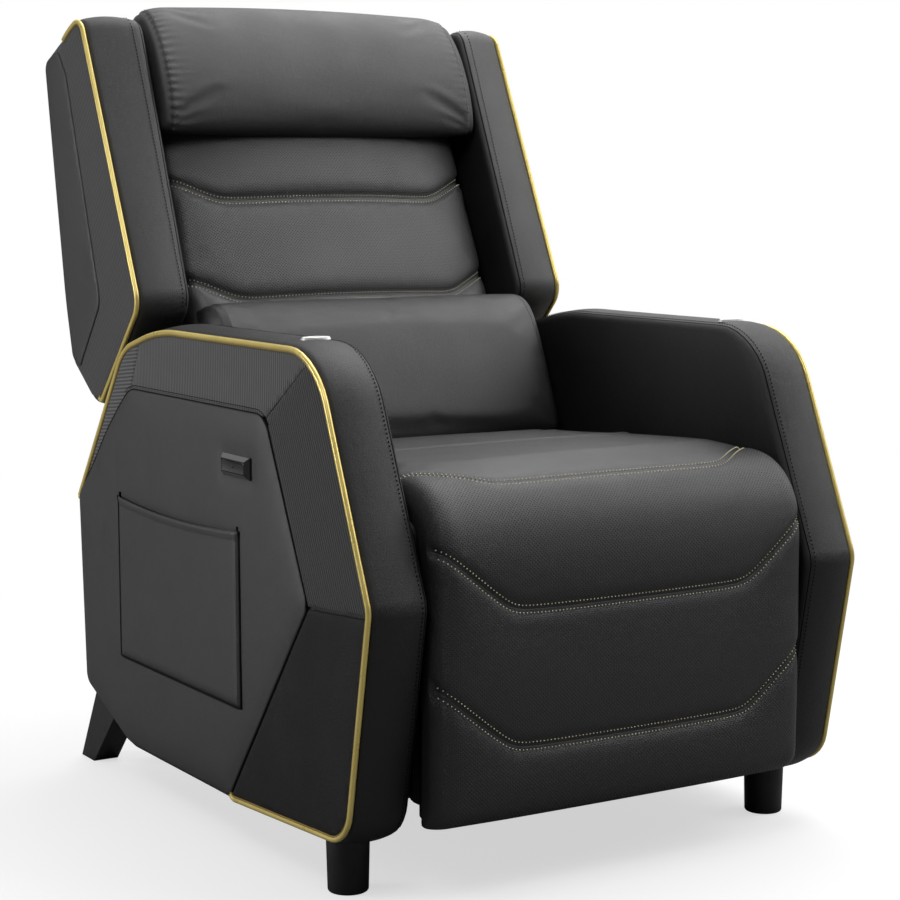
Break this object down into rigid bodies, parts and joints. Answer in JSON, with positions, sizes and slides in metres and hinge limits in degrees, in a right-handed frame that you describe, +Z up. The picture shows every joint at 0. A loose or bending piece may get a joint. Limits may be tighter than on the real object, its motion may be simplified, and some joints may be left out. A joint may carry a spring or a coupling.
{
  "type": "gaming recliner",
  "caption": "Low wing-backed power recliner with panelled arms, a folding footrest, a reclining back, a headrest pad and a loose lumbar pillow.",
  "frame": {"origin": "on the floor, under the middle of the whole chair as pictured, with the footrest down and the back up", "axes": "+Z up, -Y the way the sitter faces, +X to the viewer's right when seen from the front"},
  "size_m": [0.7126, 0.9553, 1.0577],
  "materials": {
    "leather": "soft grained black leather, satin",
    "mesh_fabric": "black ribbed mesh fabric, matt",
    "piping": "gold piping, satin",
    "gloss_black": "gloss black",
    "black_plastic": "moulded black, fine texture",
    "bright_metal": "bright plated",
    "foot_plastic": "black, low sheen",
    "timber": "plain plywood and pine",
    "bright_steel": "drawn steel",
    "black_steel": "black powder coat"
  },
  "bodies": {
    "base": {"arm_body_r": "leather", "arm_body_l": "leather", "arm_centre_panel_r": "leather", "arm_centre_panel_l": "leather", "arm_lower_panel_r": "leather", "arm_lower_panel_l": "leather", "arm_mesh_panel_r": "mesh_fabric", "arm_mesh_panel_l": "mesh_fabric", "arm_piping_r": "piping", "arm_piping_l": "piping", "side_pocket": "leather", "control_bezel": "gloss_black", "arm_badge_r": "bright_metal", "arm_badge_l": "bright_metal", "front_foot_r": "foot_plastic", "front_foot_l": "foot_plastic", "rear_leg_r": "foot_plastic", "rear_leg_l": "foot_plastic", "side_plate_r": "black_steel", "side_plate_l": "black_steel", "seat_rail_front": "timber", "seat_rail_rear": "timber", "seat_rail_r": "timber", "seat_rail_l": "timber", "seat_spring_1": "bright_steel", "seat_spring_2": "bright_steel", "seat_spring_3": "bright_steel", "seat_spring_4": "bright_steel", "lower_front_rail": "timber", "lower_rear_rail": "timber", "rear_cover": "leather", "power_inlet": "black_plastic", "motor_rail": "black_steel", "footrest_motor": "black_plastic", "recline_motor": "black_plastic", "seat_cushion": "leather"},
    "button": {"control_button": "gloss_black"},
    "footrest": {"footrest_board": "timber", "footrest_pad": "leather", "footrest_bracket_r": "black_steel", "footrest_bracket_l": "black_steel"},
    "crank": {"torque_tube": "black_steel"},
    "links": {"drive_link_r": "black_steel", "drive_link_l": "black_steel"},
    "footrest_push_rod": {"footrest_rod": "bright_steel"},
    "recline_pull_rod": {"recline_rod": "bright_steel"},
    "back": {"back_frame": "timber", "back_cushion": "leather", "headrest_pad": "leather", "back_panel": "leather", "recline_tube": "black_steel", "back_bracket_r": "black_steel", "back_bracket_l": "black_steel", "wing_r": "leather", "wing_l": "leather", "wing_panel_r": "mesh_fabric", "wing_panel_l": "mesh_fabric", "wing_piping_r": "piping", "wing_piping_l": "piping"},
    "lumbar": {"lumbar_pillow": "leather"}
  },
  "joints": [
    {"name": "footrest_swing", "type": "hinge", "parent": "base", "child": "footrest", "pos_m": [0, -0.408, 0.414], "axis": [-1, 0, 0], "range_deg": [0, 85]},
    {"name": "crank_turn", "type": "hinge", "parent": "base", "child": "crank", "pos_m": [0, -0.19, 0.3], "axis": [-1, 0, 0], "range_deg": [0, 85]},
    {"name": "link_pivot", "type": "hinge", "parent": "crank", "child": "links", "pos_m": [0, -0.16, 0.15], "axis": [-1, 0, 0], "range_deg": [-85, 0]},
    {"name": "footrest_push", "type": "slide", "parent": "base", "child": "footrest_push_rod", "axis": [0, -1, 0], "range_m": [0, 0.082]},
    {"name": "back_recline", "type": "hinge", "parent": "base", "child": "back", "pos_m": [0, 0.15, 0.33], "axis": [-1, 0, 0], "range_deg": [0, 45]},
    {"name": "recline_pull", "type": "slide", "parent": "base", "child": "recline_pull_rod", "axis": [0, -1, 0], "range_m": [0, 0.0848]},
    {"name": "control_press", "type": "slide", "parent": "base", "child": "button", "axis": [1, 0, 0], "range_m": [0, 0.0015], "stiffness_N_per_m": 1500, "springref_m": -0.001},
    {"name": "lumbar_slide", "type": "slide", "parent": "back", "child": "lumbar", "axis": [0, 0.4179, 0.9085], "range_m": [0, 0.08]}
  ],
  "couplings": [
    {"joint": "crank_turn", "follows": "footrest_swing", "ratio": 1},
    {"joint": "link_pivot", "follows": "footrest_swing", "ratio": -1},
    {"joint": "footrest_push", "follows": "footrest_swing", "m_per_rad": 0.0552},
    {"joint": "recline_pull", "follows": "back_recline", "m_per_rad": 0.1078}
  ]
}
